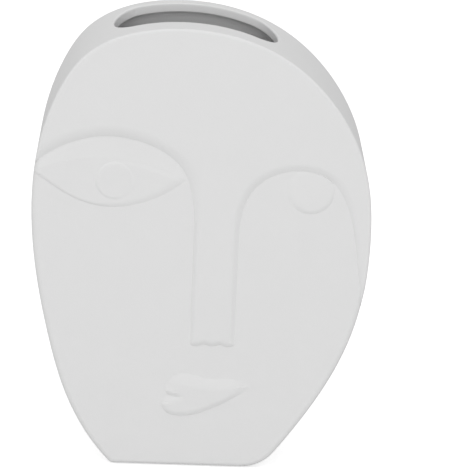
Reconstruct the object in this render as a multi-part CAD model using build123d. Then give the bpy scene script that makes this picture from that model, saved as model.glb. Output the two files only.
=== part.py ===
from build123d import *
import os

# A hollow ceramic vase in the shape of a face, with luted-on relief pieces and soft feet.
# Millimetres. X runs to the right as the face is seen, Y to the back, Z up.

# Driving sizes of the vessel
width = 198.0
height = 270.0
depth = 72.0
wall = 5.5
edge_round = 3.0
base_left_round = 4.0
base_right_round = 24.0
cavity_edge_round = 4.0
cavity_corner_round = 12.0
overrun = 5.0

# The mouth, a slot through the top wall with drawn-out round ends
mouth_length = 95.0
mouth_front_rim = 17.0
mouth_back_rim = 10.8
mouth_end_length = 13.0
mouth_offset = -6.8
mouth_reach = 36.0
mouth_lip_round = 1.0
mouth_under_round = 0.8

# The raised brow and nose, a slab let into a rebate of the front wall
relief = 2.0
rebate = 2.5
slab_edge_round = 1.6
nose_corner_round = 1.8
nose_lobe_depth = 1.3
nose_corner_rise = 0.6

# The almond eye on the left, in three pieces side by side
eyelid_thickness = 0.8
eyeball_thickness = 1.5
eyeball_fall = 0.6
iris_margin = 3.3
iris_thickness = 1.9
iris_edge_round = 0.6

# The round eye that hangs from the right arch
round_eye_radius = 14.0
round_eye_thickness = 1.5
round_eye_fall = 0.5

# The lips, the upper one thicker than the lower one
lips_length = 54.0
lips_height = 27.6
lips_left = -19.9
lips_bottom = 32.2
upper_lip_thickness = 1.9
upper_lip_fall = 1.2
lower_lip_thickness = 1.6
lower_lip_fall = 0.9

# The soft feet in their pockets
foot_radius = 5.0
foot_thickness = 2.0
foot_proud = 0.5
foot_clearance = 0.3
foot_inset_left = 13.0
foot_inset_right = 20.0
foot_inset_front = 12.0
foot_inset_back = 14.0

# Directions of the front view, and levels worked out from the sizes above
up = (0, 1)
down = (0, -1)
face_front = -depth / 2
cheek_front = face_front + relief
seat_level = cheek_front + rebate
back_level = depth / 2
body_height = height - foot_proud
mouth_width = depth - mouth_front_rim - mouth_back_rim

# The outline, as shares of the half width and of the body's height, from the right end of
# the base over the top to its left end
outline_shares = [
    (0.409, 0.0),
    (0.672, 0.133),
    (0.919, 0.321),
    (0.999, 0.533),
    (0.94, 0.712),
    (0.79, 0.823),
    (0.465, 0.939),
    (-0.145, 1.0),
    (-0.722, 0.929),
    (-0.852, 0.857),
    (-0.976, 0.709),
    (-0.996, 0.547),
    (-0.891, 0.302),
    (-0.729, 0.122),
    (-0.569, 0.03),
    (-0.497, 0.0),
]

# The lines of the face, in the same shares. The brow starts outside the left edge, and the
# arch ends outside the right one.
brow_shares = [
    (-1.018, 0.685),
    (-0.887, 0.721),
    (-0.726, 0.748),
    (-0.547, 0.758),
    (-0.339, 0.744),
    (-0.182, 0.713),
    (-0.094, 0.672),
    (-0.051, 0.611),
    (-0.044, 0.524),
]
brow_start = (4, 3)
nose_base_share = 0.288
arch_shares = [
    (0.223, 0.508),
    (0.234, 0.591),
    (0.293, 0.646),
    (0.42, 0.683),
    (0.575, 0.694),
    (0.738, 0.677),
    (0.851, 0.619),
    (0.912, 0.532),
    (0.932, 0.478),
    (0.955, 0.423),
    (1.031, 0.28),
]
arch_end = (1, -4)
lid_shares = [
    (-1.018, 0.681),
    (-0.906, 0.652),
    (-0.741, 0.616),
    (-0.565, 0.6),
    (-0.39, 0.607),
    (-0.216, 0.634),
    (-0.054, 0.681),
]
eyeball_top_shares = [
    (-1.018, 0.669),
    (-0.808, 0.7),
    (-0.539, 0.71),
    (-0.292, 0.695),
    (-0.055, 0.654),
]
iris_place_share = (-0.515, 0.66)
round_eye_place_share = (0.632, 0.65)

# The lips, as shares of their own length and height from their lower left corner
upper_lip_top_shares = [
    (0.037, 0.605),
    (0.063, 0.804),
    (0.153, 0.978),
    (0.303, 1.0),
    (0.444, 0.924),
    (0.682, 0.917),
    (1.0, 0.746),
]
mouth_line_shares = [
    (1.0, 0.746),
    (0.66, 0.627),
    (0.322, 0.525),
    (0.17, 0.471),
    (0.072, 0.504),
    (0.037, 0.605),
]
lower_lip_shares = [
    (0.072, 0.504),
    (0.0, 0.275),
    (0.068, 0.083),
    (0.198, 0.029),
    (0.338, 0.054),
    (0.519, 0.188),
    (0.699, 0.366),
    (0.859, 0.562),
    (1.0, 0.746),
]


def place(share, inset=0.0):
    """A point of the front view, from its shares of the half width and the body's height."""
    x = share[0] * (width / 2 - inset)
    z = foot_proud + inset + share[1] * (body_height - 2 * inset)
    return (x, z)


def places(shares, inset=0.0):
    """The same for a list of shares."""
    return [place(share, inset) for share in shares]


def plate(face, front, back):
    """A flat face of the front view, made a plate between two depths."""
    return extrude(Plane.XZ.offset(-back) * face, back - front)


def front_edges(solid):
    """The edges round the foremost flat face."""
    return solid.faces().sort_by(Axis.Y)[0].edges()


def outline_face(inset):
    """The vase's outline, drawn in by the inset."""
    points = places(outline_shares, inset)
    return make_face([Spline(points), Line(points[-1], points[0])])


def vessel_block(inset, front, back, left_round, right_round, rim_round):
    """The outline made solid between two depths, with its base corners and rims rounded."""
    block = plate(outline_face(inset), front, back)
    corners = block.edges().filter_by(Axis.Y).sort_by(Axis.X)
    block = fillet(corners[0], left_round)
    corners = block.edges().filter_by(Axis.Y).sort_by(Axis.X)
    block = fillet(corners[-1], right_round)
    rims = block.faces().sort_by(Axis.Y)[0].edges() + block.faces().sort_by(Axis.Y)[-1].edges()
    return fillet(rims, rim_round)


def slab_face():
    """What the brow and nose cover, from their lower line up to beyond the outline."""
    brow = places(brow_shares)
    arch = places(arch_shares)
    left = brow[-1][0]
    right = arch[0][0]
    lobe = (right - left) / 3
    middle = place((0.0, nose_base_share))[1]
    low = middle - nose_lobe_depth / 2
    high = middle + nose_lobe_depth / 2
    nose_base = FilletPolyline(
        brow[-1],
        (left, low + nose_corner_rise),
        (left + lobe / 2, low),
        (left + lobe, high),
        (left + 3 * lobe / 2, low),
        (left + 2 * lobe, high),
        (right - lobe / 2, low),
        (right, low + nose_corner_rise),
        arch[0],
        radius=nose_corner_round,
    )
    outer = width / 2 + overrun
    top = height + overrun
    corners = [arch[-1], (outer, arch[-1][1]), (outer, top), (brow[0][0], top), brow[0]]
    brow_line = Spline(brow, tangents=[brow_start, down])
    arch_line = Spline(arch, tangents=[up, arch_end])
    return make_face([brow_line, nose_base, arch_line, Polyline(corners)])


def region_above(shares):
    """What lies above a line of the face, up to beyond the outline."""
    points = places(shares)
    top = height + overrun
    corners = [points[-1], (points[-1][0], top), (points[0][0], top), points[0]]
    return make_face([Spline(points), Polyline(corners)])


def slab_block():
    """The brow and nose before the outline trims them, with a soft front edge."""
    block = plate(slab_face(), face_front, seat_level)
    soft = [edge for edge in front_edges(block) if on_the_face(edge.center())]
    return fillet(soft, slab_edge_round)


def on_the_face(point):
    """True inside the frame of the outline, and not beyond it."""
    return abs(point.X) < width / 2 and point.Z < height


def crowned(solid, thickness, fall, low, high):
    """The plate with its front bellied, falling away from its middle to its low and high side."""
    half = (high - low) / 2
    radius = (half**2 + fall**2) / (2 * fall)
    center = (0.0, cheek_front - thickness + radius, (low + high) / 2)
    belly = Pos(*center) * Rot(0, 90, 0) * Cylinder(radius, 2 * width)
    return solid & belly


def sprig(face, thickness):
    """A relief piece of that thickness, seated on the flat of the cheeks."""
    return plate(face, cheek_front - thickness, cheek_front)


def mouth_block():
    """The space that the mouth takes out of the top wall."""
    straight = mouth_length / 2 - mouth_end_length
    side = mouth_width / 2
    end = Ellipse(mouth_end_length, side)
    slot = Rectangle(2 * straight, 2 * side) + Pos(straight, 0) * end + Pos(-straight, 0) * end
    middle = (face_front + mouth_front_rim + back_level - mouth_back_rim) / 2
    start = Plane.XY.offset(height - mouth_reach) * Pos(mouth_offset, middle)
    return extrude(start * slot, mouth_reach + overrun)


def foot_places():
    """The centres of the four feet, seen from above, each set in from the base's own edges."""
    columns = {
        "left": place(outline_shares[-1])[0] + foot_inset_left,
        "right": place(outline_shares[0])[0] - foot_inset_right,
    }
    rows = {"front": cheek_front + foot_inset_front, "back": back_level - foot_inset_back}
    return {side + "_" + end: (columns[side], rows[end]) for side in columns for end in rows}


def foot(center, radius, low):
    """A round foot, or the pocket that takes it."""
    return extrude(Plane.XY.offset(low) * Pos(*center) * Circle(radius), foot_thickness - low)


def lips_place(share):
    """A point of the lips, from its shares of their length and height."""
    return (lips_left + share[0] * lips_length, lips_bottom + share[1] * lips_height)


def lip(face, thickness, fall):
    """One lip, bellied from its lower to its upper side."""
    box = face.bounding_box()
    return crowned(sprig(face, thickness), thickness, fall, box.min.Y, box.max.Y)


def lips():
    """The upper lip with its round left end, and the lower lip that meets it."""
    top = Spline([lips_place(share) for share in upper_lip_top_shares])
    line = Spline([lips_place(share) for share in mouth_line_shares])
    bottom = Spline([lips_place(share) for share in lower_lip_shares])
    upper = make_face([top, line])
    lower = make_face([bottom, Line(bottom @ 1, bottom @ 0)]) - upper
    return {
        "upper_lip": lip(upper, upper_lip_thickness, upper_lip_fall),
        "lower_lip": lip(lower, lower_lip_thickness, lower_lip_fall),
    }


def outer_block(front):
    """The vase outside, with its front at that depth."""
    return vessel_block(0.0, front, back_level, base_left_round, base_right_round, edge_round)


def brow_and_nose():
    """The raised slab, trimmed to the outline and rounded with it."""
    return outer_block(face_front) & slab_block()


def vase_body():
    """The hollow vessel, open at the mouth, with the slab's rebate and the feet's pockets."""
    block = outer_block(cheek_front)
    mouth = mouth_block()
    opened = block - mouth
    opened = fillet(new_edges(block, mouth, combined=opened), mouth_lip_round)
    inner_front = cheek_front + wall
    inner_back = back_level - wall
    corner = cavity_corner_round
    cavity = vessel_block(wall, inner_front, inner_back, corner, corner, cavity_edge_round)
    hollow = opened - cavity
    hollow = fillet(new_edges(opened, cavity, combined=hollow), mouth_under_round)
    hollow -= plate(slab_face(), face_front - overrun, seat_level)
    for center in foot_places().values():
        hollow -= foot(center, foot_radius + foot_clearance, 0.0)
    return hollow


def eye_pieces():
    """The almond eye: lid, eyeball and iris, side by side on the flat of the cheek."""
    almond = (region_above(lid_shares) - slab_face()) & outline_face(edge_round)
    upper = region_above(eyeball_top_shares)
    ball = almond - upper
    iris_place = place(iris_place_share)
    low = min(z for x, z in places(lid_shares))
    high = max(z for x, z in places(eyeball_top_shares))
    iris_face = Pos(*iris_place) * Circle((high - low) / 2 - iris_margin)
    iris = sprig(iris_face, iris_thickness)
    ball_plate = sprig(ball - iris_face, eyeball_thickness)
    return {
        "upper_eyelid": sprig((almond & upper) - iris_face, eyelid_thickness),
        "eyeball": crowned(ball_plate, eyeball_thickness, eyeball_fall, low, high),
        "iris": fillet(front_edges(iris), iris_edge_round),
    }


def round_eye():
    """The disc under the right arch, cut off by it."""
    center = place(round_eye_place_share)
    disc = Pos(*center) * Circle(round_eye_radius) - slab_face()
    low = center[1] - round_eye_radius
    high = center[1] + round_eye_radius
    return crowned(sprig(disc, round_eye_thickness), round_eye_thickness, round_eye_fall, low, high)


pieces = {"vase_body": vase_body(), "brow_and_nose": brow_and_nose()}
pieces.update(eye_pieces())
pieces["round_eye"] = round_eye()
pieces.update(lips())
for name, center in foot_places().items():
    pieces["foot_" + name] = foot(center, foot_radius, 0.0)

os.makedirs("parts", exist_ok=True)
for name, solid in pieces.items():
    print(name, round(solid.volume), len(solid.solids()), solid.is_valid)
    export_step(solid, "parts/" + name + ".step")
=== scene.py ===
import math

import bmesh
import bpy
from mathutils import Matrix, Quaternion, Vector, kdtree


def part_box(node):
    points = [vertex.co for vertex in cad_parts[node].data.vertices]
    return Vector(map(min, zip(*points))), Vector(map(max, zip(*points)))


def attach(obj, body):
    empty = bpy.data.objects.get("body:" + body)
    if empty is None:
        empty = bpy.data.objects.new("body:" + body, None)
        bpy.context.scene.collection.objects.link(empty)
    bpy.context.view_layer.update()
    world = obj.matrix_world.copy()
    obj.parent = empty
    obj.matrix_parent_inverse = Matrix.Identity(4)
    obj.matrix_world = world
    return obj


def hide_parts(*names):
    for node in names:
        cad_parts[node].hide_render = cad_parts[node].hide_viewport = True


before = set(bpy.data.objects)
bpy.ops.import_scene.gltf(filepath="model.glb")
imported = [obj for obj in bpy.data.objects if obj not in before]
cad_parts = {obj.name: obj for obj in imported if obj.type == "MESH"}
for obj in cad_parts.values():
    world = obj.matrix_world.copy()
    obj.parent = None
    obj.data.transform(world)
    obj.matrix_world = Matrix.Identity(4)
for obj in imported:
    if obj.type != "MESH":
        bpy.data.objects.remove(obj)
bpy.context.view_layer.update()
scene = bpy.context.scene
print("frame loaded")


# A shader socket that adds Math nodes when it is used in an expression
class Value:
    def __init__(self, tree, socket):
        self.tree = tree
        self.socket = socket

    def maths(self, operation, *terms):
        step = self.tree.nodes.new("ShaderNodeMath")
        step.operation = operation
        for slot, term in zip(step.inputs, terms):
            if isinstance(term, Value):
                self.tree.links.new(term.socket, slot)
            else:
                slot.default_value = term
        return Value(self.tree, step.outputs[0])

    def __add__(self, other):
        return self.maths("ADD", self, other)

    def __sub__(self, other):
        return self.maths("SUBTRACT", self, other)

    def __rsub__(self, other):
        return self.maths("SUBTRACT", other, self)

    def __mul__(self, other):
        return self.maths("MULTIPLY", self, other)

    __radd__ = __add__
    __rmul__ = __mul__


# A node tree whose nodes all come from one method
class Nodes:
    def __init__(self, tree):
        self.tree = tree

    def node(self, kind, settings, sockets, output=0):
        made = self.tree.nodes.new(kind)
        for name, value in settings.items():
            setattr(made, name, value)
        for name, value in sockets.items():
            self.feed(made.inputs[name], value)
        return Value(self.tree, made.outputs[output])

    def feed(self, slot, value):
        if isinstance(value, Value):
            self.tree.links.new(value.socket, slot)
        else:
            slot.default_value = value


# A material around the Principled shader, on which every finish is built
class Finish(Nodes):
    def __init__(self, name):
        self.material = bpy.data.materials.new(name)
        self.material.use_nodes = True
        super().__init__(self.material.node_tree)
        self.shader = self.tree.nodes["Principled BSDF"]

    def coat(self, socket, value):
        self.feed(self.shader.inputs[socket], value)

    def noise(self, scale, detail):
        place = self.node("ShaderNodeTexCoord", {}, {}, "Object")
        return self.node("ShaderNodeTexNoise", {}, {"Vector": place, "Scale": scale, "Detail": detail})

    def mixed(self, share, first, second):
        colours = {0: share, 6: first, 7: second}  # the colour sockets of a Mix node
        return self.node("ShaderNodeMix", {"data_type": "RGBA"}, colours, 2)

    def bumped(self, height, strength, depth):
        sockets = {"Strength": strength, "Distance": depth, "Height": height}
        self.coat("Normal", self.node("ShaderNodeBump", {}, sockets))


# The fine dry matte of the fired clay
clay = {
    "paleColour": (0.775, 0.775, 0.775, 1),
    "deepColour": (0.735, 0.735, 0.735, 1),
    "grain": (1900, 2.0),
    "cloud": (55, 3.0),
    "grainShare": 0.6,
    "roughness": 0.86,
    "roughSpread": 0.1,
    "bumpStrength": 0.5,
    "bumpDepth": 0.00006,
}


def clayFinish():
    finish = Finish("matteClay")
    grain = finish.noise(*clay["grain"])
    cloud = finish.noise(*clay["cloud"])
    share = grain * clay["grainShare"] + cloud * (1 - clay["grainShare"])
    finish.coat("Base Color", finish.mixed(share, clay["deepColour"], clay["paleColour"]))
    finish.coat("Roughness", clay["roughness"] + (cloud - 0.5) * clay["roughSpread"])
    finish.bumped(grain, clay["bumpStrength"], clay["bumpDepth"])
    return finish.material


# The pressed grey felt of the feet
felt = {
    "paleColour": (0.46, 0.45, 0.44, 1),
    "deepColour": (0.36, 0.35, 0.34, 1),
    "fibre": (2600, 4.0),
    "roughness": 0.9,
    "roughSpread": 0.1,
    "bumpStrength": 0.8,
    "bumpDepth": 0.0002,
}


def feltFinish():
    finish = Finish("pressedFelt")
    fibre = finish.noise(*felt["fibre"])
    finish.coat("Base Color", finish.mixed(fibre, felt["deepColour"], felt["paleColour"]))
    finish.coat("Roughness", felt["roughness"] + (fibre - 0.5) * felt["roughSpread"])
    finish.bumped(fibre, felt["bumpStrength"], felt["bumpDepth"])
    return finish.material


matteClay = clayFinish()
pressedFelt = feltFinish()
for name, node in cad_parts.items():
    node.data.materials.clear()
    node.data.materials.append(pressedFelt if name.startswith("foot") else matteClay)
print("finishes made")


# How the front of the vase lies: the cheeks' level, the seat of the brow and the rounding of its rim,
# which is crisper along the brow
front = {
    "cheekLevel": -0.034,
    "seatLevel": -0.0315,
    "rimRound": 0.003,
    "browRim": 0.0016,
    "rimChange": 0.03,
    "rimSteepest": 60,
    "rimClear": 0.0033,
    "wallSlice": -0.030,
}

# How finely the fronts are cut before they are shaped, and how near or level counts as the same
cutting = {
    "tile": 0.008,
    "fine": 0.0008,
    "sample": 0.00015,
    "weld": 0.000001,
    "flat": 0.001,
    "frontFacing": 0.02,
    "sideFacing": 0.2,
    "backFacing": 0.9,
    "shared": 0.0002,
    "backing": 0.0006,
    "thinnest": 0.00002,
    "probe": 0.00015,
    "steepest": 1.1,
}


# A line of the face, as close-set places that each know which way is outward
class FaceLine:
    def __init__(self, samples):
        self.samples = samples
        self.tree = kdtree.KDTree(len(samples))
        for index, (place, outward) in enumerate(samples):
            self.tree.insert((place[0], 0, place[1]), index)
        self.tree.balance()

    # How far inside the line a place is, and which way is outward there
    def measured(self, x, z):
        near, index, far = self.tree.find((x, 0, z))
        outward = self.samples[index][1]
        across = (near.x - x) * outward[0] + (near.z - z) * outward[1]
        if far > 2 * cutting["sample"]:
            across = math.copysign(far, across)
        return across, outward

    def inside(self, x, z):
        return self.measured(x, z)[0]

    def nearest(self, x, z):
        near = self.tree.find((x, 0, z))[0]
        return near.x, near.z

    def gap(self, place):
        return self.tree.find((place[0], 0, place[1]))[2]


def mergedCopy(name):
    bm = bmesh.new()
    bm.from_mesh(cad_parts[name].data)
    bmesh.ops.remove_doubles(bm, verts=bm.verts, dist=cutting["weld"])
    return bm


def alongEdges(edges):
    samples = []
    for edge in edges:
        sides = [face.normal for face in edge.link_faces if abs(face.normal.y) < cutting["sideFacing"]]
        if not sides:
            continue
        outward = Vector((sides[0].x, sides[0].z)).normalized()
        start, end = (vert.co for vert in edge.verts)
        steps = max(1, math.ceil((end - start).length / cutting["sample"]))
        for count in range(steps):
            place = start.lerp(end, count / steps)
            samples.append(((place.x, place.z), tuple(outward)))
    return samples


def outlineOfWall():
    bm = mergedCopy("vase_body")
    geom = bm.verts[:] + bm.edges[:] + bm.faces[:]
    plane = {"plane_co": (0, front["wallSlice"], 0), "plane_no": (0, 1, 0)}
    cut = bmesh.ops.bisect_plane(bm, geom=geom, dist=cutting["weld"], **plane)["geom_cut"]
    samples = alongEdges([part for part in cut if isinstance(part, bmesh.types.BMEdge)])
    bm.free()
    return FaceLine(samples)


def outlineOfPiece(name):
    bm = mergedCopy(name)
    backs = {face for face in bm.faces if face.normal.y > cutting["backFacing"]}
    edges = [edge for edge in bm.edges if sum(face in backs for face in edge.link_faces) == 1]
    samples = alongEdges(edges)
    bm.free()
    return samples


def apartFrom(samples, others, least):
    return [sample for sample in samples if all(other.gap(sample[0]) > least for other in others)]


def besideOf(samples, other, most):
    return [sample for sample in samples if other.gap(sample[0]) < most]


def smoothStep(share):
    share = min(1, max(0, share))
    return share * share * (3 - 2 * share)


def between(first, second, share):
    return first + (second - first) * smoothStep(share)


# A shoulder that starts at the line and ends level, as wide and as tall as given. It is a round
# with a crisp foot, and a blur of 1 makes its foot as soft as its top.
def shoulder(inside, wide, tall, blur=0):
    if inside <= 0:
        return 0
    if inside >= wide:
        return tall
    radius = (wide ** 2 + tall ** 2) / (2 * tall)
    crisp = tall - radius + math.sqrt(radius ** 2 - (wide - inside) ** 2)
    return crisp + blur * (tall * smoothStep(inside / wide) - crisp)


# How far up a low crisp shoulder a place is, from 0 to 1
def shoulderShare(inside, wide):
    return shoulder(inside, wide, 0.001) / 0.001


vaseOutline = outlineOfWall()
slabOutline = outlineOfPiece("brow_and_nose")
browLine = FaceLine(apartFrom(slabOutline, [vaseOutline], cutting["shared"]))
lidOutline = FaceLine(outlineOfPiece("upper_eyelid"))
irisOutline = FaceLine(outlineOfPiece("iris"))
ballSamples = apartFrom(outlineOfPiece("eyeball"), [irisOutline], cutting["shared"])
ballSamples = apartFrom(ballSamples, [vaseOutline], front["rimClear"])
arcLine = FaceLine(besideOf(ballSamples, lidOutline, cutting["shared"]))
lidLine = FaceLine(apartFrom(ballSamples, [lidOutline, browLine], cutting["shared"]))
upperLip = outlineOfPiece("upper_lip")
lowerLip = outlineOfPiece("lower_lip")
mouthLine = FaceLine(besideOf(upperLip, FaceLine(lowerLip), cutting["shared"]))
lipsLine = FaceLine(apartFrom(upperLip + lowerLip, [mouthLine], cutting["shared"]))
discLine = FaceLine(apartFrom(outlineOfPiece("round_eye"), [browLine], cutting["shared"]))
print("lines of the face found")


def rimDrop(inside, radius=front["rimRound"]):
    if inside >= radius:
        return 0
    return radius - math.sqrt(max(0, radius ** 2 - (radius - inside) ** 2))


# The brow and the nose: how high they stand, how wide their shoulder is along each stretch and how
# soft its foot is there, how the height falls away to the right and to the foot, and where the
# stretches change
brow = {
    "height": 0.002,
    "brow": (0.0075, 0.0),
    "noseLeft": (0.0034, 0.4),
    "noseBase": (0.0045, 0.0),
    "noseRight": (0.0038, 0.5),
    "archTop": (0.0050, 0.3),
    "archRight": (0.0038, 0.0),
    "archShare": 0.65,
    "footShare": 0.8,
    "spread": 0.04,
    "noseMiddle": 0.010,
    "archMiddle": 0.060,
    "noseTop": 0.150,
    "noseFoot": 0.079,
    "archTurn": 0.183,
    "blend": 0.03,
    "footBlend": 0.006,
    "tailEnd": 0.095,
    "tailFade": 0.025,
}


def rimRadius(z, height):
    if height != browHeight:
        return front["rimRound"]
    return between(front["rimRound"], front["browRim"], (z - brow["tailEnd"]) / front["rimChange"])


# The shoulder's width for part 0 and its blur for part 1, by the nearest place on the line
def browShoulder(nearX, nearZ, part):
    aboveNose = (nearZ - brow["noseTop"]) / brow["blend"]
    belowArch = (brow["archTurn"] - nearZ) / brow["blend"]
    if nearX < brow["noseMiddle"]:
        first, second, share = "noseLeft", "brow", aboveNose
    elif nearX < brow["archMiddle"]:
        first, second, share = "noseRight", "archTop", aboveNose
    else:
        first, second, share = "archTop", "archRight", belowArch
    side = between(brow[first][part], brow[second][part], share)
    return between(brow["noseBase"][part], side, (nearZ - brow["noseFoot"]) / brow["footBlend"])


def browHeight(x, z):
    near = browLine.nearest(x, z)
    tall = brow["height"] * between(1, brow["archShare"], (x - brow["noseMiddle"]) / brow["spread"])
    tall *= between(brow["footShare"], 1, (z - brow["noseFoot"]) / brow["spread"])
    height = shoulder(browLine.inside(x, z), browShoulder(*near, 0), tall, browShoulder(*near, 1))
    if near[0] > brow["archMiddle"]:
        height *= smoothStep((z - brow["tailEnd"]) / brow["tailFade"])
    return height


# The almond eye: a hollow under the brow, a full eyeball and a low round iris that leans. A pair is
# the value at the left end and at the right end of the eye.
eye = {
    "lidHeight": 0.0008,
    "ballRise": (0.0, 0.0005),
    "ballStart": -0.075,
    "ballSpan": 0.055,
    "ballWide": 0.0035,
    "edgeWide": (0.0018, 0.0050),
    "rightShare": 0.7,
    "hollow": (1.0, 1.5),
    "corner": 0.0025,
    "irisRise": 0.0006,
    "irisLean": 0.85,
    "irisWide": 0.0016,
    "under": 0.00005,
    "rimReach": 0.006,
    "rimLeft": 0.0003,
}
irisLow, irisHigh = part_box("iris")
eye["irisX"] = (irisLow[0] + irisHigh[0]) / 2
eye["irisZ"] = (irisLow[2] + irisHigh[2]) / 2
eye["irisRadius"] = (irisHigh[0] - irisLow[0]) / 2


def eyeHeight(x, z):
    below = max(0, -browLine.inside(x, z))
    arc = arcLine.inside(x, z)
    edge = lidLine.inside(x, z)
    across = (x - eye["ballStart"]) / eye["ballSpan"]
    if arc < 0:
        height = eye["lidHeight"] * (below / (below - arc)) ** between(*eye["hollow"], across)
    else:
        height = eye["lidHeight"] + between(*eye["ballRise"], across) * smoothStep(arc / eye["ballWide"])
    height *= shoulderShare(edge, between(*eye["edgeWide"], across))
    height *= between(1, eye["rightShare"], across) * smoothStep(below / eye["corner"])
    away = math.hypot(x - eye["irisX"], z - eye["irisZ"])
    lean = 1 - eye["irisLean"] * (1 + (x - eye["irisX"]) / eye["irisRadius"]) / 2
    height += eye["irisRise"] * lean * smoothStep((eye["irisRadius"] - away) / eye["irisWide"])
    return height - (eye["under"] if edge <= 0 or below <= 0 else 0)


# The round eye, crisp below and softer on its left, where it sinks into the cheek
disc = {
    "height": 0.0009,
    "wide": 0.0032,
    "leftWide": 0.0045,
    "blur": 0.0,
    "leftBlur": 0.5,
    "upperShare": 0.3,
    "upperStart": -0.4,
    "upperSpan": 1.8,
}
discLow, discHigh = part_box("round_eye")
disc["radius"] = (discHigh[0] - discLow[0]) / 2
disc["x"] = (discHigh[0] + discLow[0]) / 2
disc["z"] = discLow[2] + disc["radius"]


def discHeight(x, z):
    left = (disc["x"] - x) / disc["radius"]
    wide = between(disc["wide"], disc["leftWide"], left)
    blur = between(disc["blur"], disc["leftBlur"], left)
    upper = left + (z - disc["z"]) / disc["radius"]
    sunk = between(1, disc["upperShare"], (upper - disc["upperStart"]) / disc["upperSpan"])
    return shoulder(discLine.inside(x, z), wide, disc["height"] * sunk, blur)


# The lips: full above, crisp below, and folded under the left end of the upper one
lips = {
    "height": 0.0014,
    "topWide": 0.0080,
    "topBlur": 0.4,
    "lowWide": 0.0038,
    "lowBlur": 0.0,
    "topStart": -0.2,
    "topSpan": 0.6,
    "tip": 0.034,
    "tipFade": 0.014,
    "fold": 0.75,
    "foldWide": 0.003,
    "foldEnd": -0.006,
    "foldFade": 0.007,
}


def lipsHeight(x, z):
    inside, outward = lipsLine.measured(x, z)
    upward = (outward[1] - lips["topStart"]) / lips["topSpan"]
    wide = between(lips["lowWide"], lips["topWide"], upward)
    height = shoulder(inside, wide, lips["height"], between(lips["lowBlur"], lips["topBlur"], upward))
    height *= smoothStep((lips["tip"] - x) / lips["tipFade"])
    line = abs(mouthLine.inside(x, z))
    folded = smoothStep((lips["foldEnd"] - x) / lips["foldFade"])
    return height * (1 - lips["fold"] * folded * (1 - shoulderShare(line, lips["foldWide"])))


def cutAcross(bm, geom, axis, low, high, step):
    pieces = max(1, round((high - low) / step))
    direction = Vector((0, 0, 0))
    direction[axis] = 1
    for count in range(1, pieces):
        place = direction * (low + (high - low) * count / pieces)
        plane = {"plane_co": place, "plane_no": direction}
        geom = bmesh.ops.bisect_plane(bm, geom=geom, dist=cutting["weld"], **plane)["geom"]
    return geom


def partsOf(faces):
    edges = {edge for face in faces for edge in face.edges}
    verts = {vert for face in faces for vert in face.verts}
    return list(verts) + list(edges) + list(faces)


# Wide strips first, and then a finer net where the shaping reaches
def cutFront(bm, reached):
    tile = cutting["tile"]
    geom = bm.verts[:] + bm.edges[:] + bm.faces[:]
    for axis in (0, 2):
        places = [vert.co[axis] for vert in bm.verts]
        low, high = math.floor(min(places) / tile) * tile, math.ceil(max(places) / tile) * tile
        geom = cutAcross(bm, geom, axis, low, high, tile)
    for axis in (0, 2):
        strips = {}
        for face in bm.faces:
            if face.normal.y < -cutting["frontFacing"]:
                middle = face.calc_center_median()
                column, row = math.floor(middle.x / tile), math.floor(middle.z / tile)
                if reached((column + 0.5) * tile, (row + 0.5) * tile):
                    strips.setdefault(column if axis == 0 else row, []).append(face)
        for strip, faces in strips.items():
            cutAcross(bm, partsOf(faces), axis, strip * tile, (strip + 1) * tile, cutting["fine"])


# The level of the front at a place, and the way it faces there
def frontLevel(x, z, height):
    drop = rimDrop(vaseOutline.inside(x, z), rimRadius(z, height))
    return front["cheekLevel"] + drop - height(x, z)


def facing(x, z, height):
    inside, outward = vaseOutline.measured(x, z)
    step = cutting["probe"]
    acrossX = (height(x + step, z) - height(x - step, z)) / (2 * step)
    acrossZ = (height(x, z + step) - height(x, z - step)) / (2 * step)
    tame = min(1, cutting["steepest"] / max(1e-6, math.hypot(acrossX, acrossZ)))
    acrossX, acrossZ = acrossX * tame, acrossZ * tame
    radius = rimRadius(z, height)
    steep = 0
    if inside < radius:
        left = radius - max(inside, 0)
        steep = min(front["rimSteepest"], left / math.sqrt(max(1e-12, radius ** 2 - left ** 2)))
    return Vector((outward[0] * steep - acrossX, -1, outward[1] * steep - acrossZ)).normalized()


# Draws the left end of the eye out over the rounded rim
def overRim(bm):
    reach, left, radius = eye["rimReach"], eye["rimLeft"], front["rimRound"]
    for vert in bm.verts:
        inside, outward = vaseOutline.measured(vert.co.x, vert.co.z)
        if inside < reach and vert.co.x < 0:
            move = inside - (reach - (reach - inside) * (reach - left) / (reach - radius))
            vert.co.x += outward[0] * move
            vert.co.z += outward[1] * move


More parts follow.
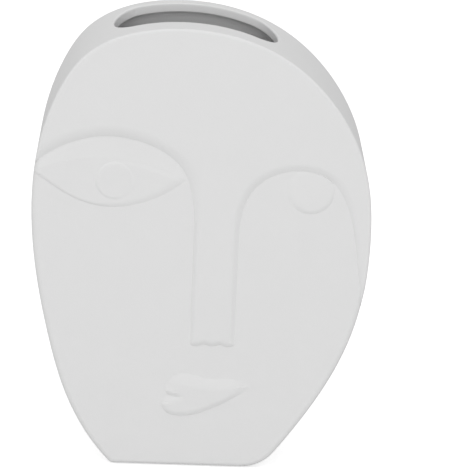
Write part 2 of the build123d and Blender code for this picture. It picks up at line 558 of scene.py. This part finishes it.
def reliefPiece(name, node, height, backLevel, reached, drawn=None):
    bm = mergedCopy(node)
    bmesh.ops.dissolve_limit(bm, angle_limit=cutting["flat"], verts=bm.verts, edges=bm.edges)
    bmesh.ops.connect_verts_concave(bm, faces=bm.faces)
    cutFront(bm, reached)
    if drawn:
        drawn(bm)
    lowest = max(vert.co.y for vert in bm.verts)
    for vert in bm.verts:
        if vert.co.y > lowest - cutting["weld"]:
            vert.co.y = backLevel(vert.co.x, vert.co.z)
        else:
            level = frontLevel(vert.co.x, vert.co.z, height)
            vert.co.y = min(level, backLevel(vert.co.x, vert.co.z) - cutting["thinnest"])
    mesh = bpy.data.meshes.new(name)
    bm.to_mesh(mesh)
    bm.free()
    faced = [facing(vert.co.x, vert.co.z, height) for vert in mesh.vertices]
    normals = [None] * len(mesh.loops)
    for side in mesh.polygons:
        side.use_smooth = True
        onWall = abs(side.normal.y) < cutting["frontFacing"]
        for loop in side.loop_indices:
            corner = mesh.vertices[mesh.loops[loop].vertex_index].co
            normal = side.normal
            if side.normal.y < -cutting["frontFacing"]:
                normal = faced[mesh.loops[loop].vertex_index]
            elif onWall:
                inside, outward = vaseOutline.measured(corner.x, corner.z)
                if inside < cutting["shared"] / 2:
                    normal = Vector((outward[0], 0, outward[1]))
            normals[loop] = normal
    mesh.normals_split_custom_set(normals)
    mesh.materials.append(matteClay)
    piece = bpy.data.objects.new(name, mesh)
    scene.collection.objects.link(piece)
    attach(piece, "root")
    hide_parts(node)
    print(name, len(mesh.vertices), "places")


def seatOfBrow(x, z):
    return front["seatLevel"]


def buried(x, z):
    return front["cheekLevel"] + rimDrop(vaseOutline.inside(x, z)) + cutting["backing"]


def nearBrowLine(x, z):
    return abs(browLine.inside(x, z)) < brow["brow"][0] + cutting["tile"] * 0.75


def everywhere(x, z):
    return True


reliefPiece("browAndNose", "brow_and_nose", browHeight, seatOfBrow, nearBrowLine)
reliefPiece("upperEyelid", "upper_eyelid", eyeHeight, buried, everywhere, overRim)
reliefPiece("eyeball", "eyeball", eyeHeight, buried, everywhere, overRim)
reliefPiece("iris", "iris", eyeHeight, buried, everywhere)
reliefPiece("roundEye", "round_eye", discHeight, buried, everywhere)
reliefPiece("upperLip", "upper_lip", lipsHeight, buried, everywhere)
reliefPiece("lowerLip", "lower_lip", lipsHeight, buried, everywhere)
print("relief shaped")


# The floor, white to the camera and plain to the rest of the light
stage = {"size": 12.0, "colour": 0.72, "glow": 0.6}


def stageFloor():
    bm = bmesh.new()
    bmesh.ops.create_grid(bm, x_segments=1, y_segments=1, size=stage["size"] / 2)
    mesh = bpy.data.meshes.new("floor")
    bm.to_mesh(mesh)
    bm.free()
    floor = bpy.data.objects.new("floor", mesh)
    scene.collection.objects.link(floor)
    finish = Finish("stageWhite")
    finish.coat("Base Color", (stage["colour"],) * 3 + (1,))
    finish.coat("Roughness", 1.0)
    finish.coat("Emission Color", (1, 1, 1, 1))
    seen = finish.node("ShaderNodeLightPath", {}, {}, "Is Camera Ray")
    finish.coat("Emission Strength", seen * stage["glow"])
    mesh.materials.append(finish.material)


# Soft studio light: an overall glow, a wide lamp before the face and one above it
light = {
    "air": 0.73,
    "aim": (0, 0, 0.14),
    "lamps": [
        {"name": "frontLamp", "from": (-0.1, -2.7, 0.6), "size": 0.8, "power": 14.5},
        {"name": "topLamp", "from": (-0.1, -1.1, 2.4), "size": 1.0, "power": 8.8},
    ],
}


def stageWorld():
    world = bpy.data.worlds.new("studio")
    world.use_nodes = True
    scene.world = world
    nodes = Nodes(world.node_tree)
    air = nodes.tree.nodes["Background"]
    seen = nodes.node("ShaderNodeLightPath", {}, {}, "Is Camera Ray")
    nodes.feed(air.inputs["Color"], (1, 1, 1, 1))
    nodes.feed(air.inputs["Strength"], seen + light["air"] * (1 - seen))


def studioLamps():
    aim = Vector(light["aim"])
    for lamp in light["lamps"]:
        data = bpy.data.lights.new(lamp["name"], "AREA")
        data.shape = "DISK"
        data.size = lamp["size"]
        data.energy = lamp["power"]
        made = bpy.data.objects.new(lamp["name"], data)
        made.location = lamp["from"]
        made.rotation_euler = (aim - made.location).to_track_quat("-Z", "Y").to_euler()
        scene.collection.objects.link(made)


# The camera stands where the photograph was taken from
camera = {
    "target": (0.02069, 0.0, 0.13591),
    "distance": 1.6173,
    "azimuth": -1.63,
    "elevation": 18.73,
    "roll": 2.45,
    "lens": 208.35,
    "sensor": 36.0,
}


def stageCamera():
    data = bpy.data.cameras.new("camera")
    data.lens = camera["lens"]
    data.sensor_width = camera["sensor"]
    data.clip_end = 50.0
    made = bpy.data.objects.new("camera", data)
    turn = math.radians(camera["azimuth"])
    rise = math.radians(camera["elevation"])
    back = Vector((math.sin(turn) * math.cos(rise), -math.cos(turn) * math.cos(rise), math.sin(rise)))
    made.location = Vector(camera["target"]) + back * camera["distance"]
    made.rotation_mode = "QUATERNION"
    roll = Quaternion((0, 0, 1), math.radians(camera["roll"]))
    made.rotation_quaternion = (-back).to_track_quat("-Z", "Y") @ roll
    scene.collection.objects.link(made)
    scene.camera = made


stageFloor()
stageWorld()
studioLamps()
stageCamera()
scene.view_settings.view_transform = "Standard"
print("stage set")
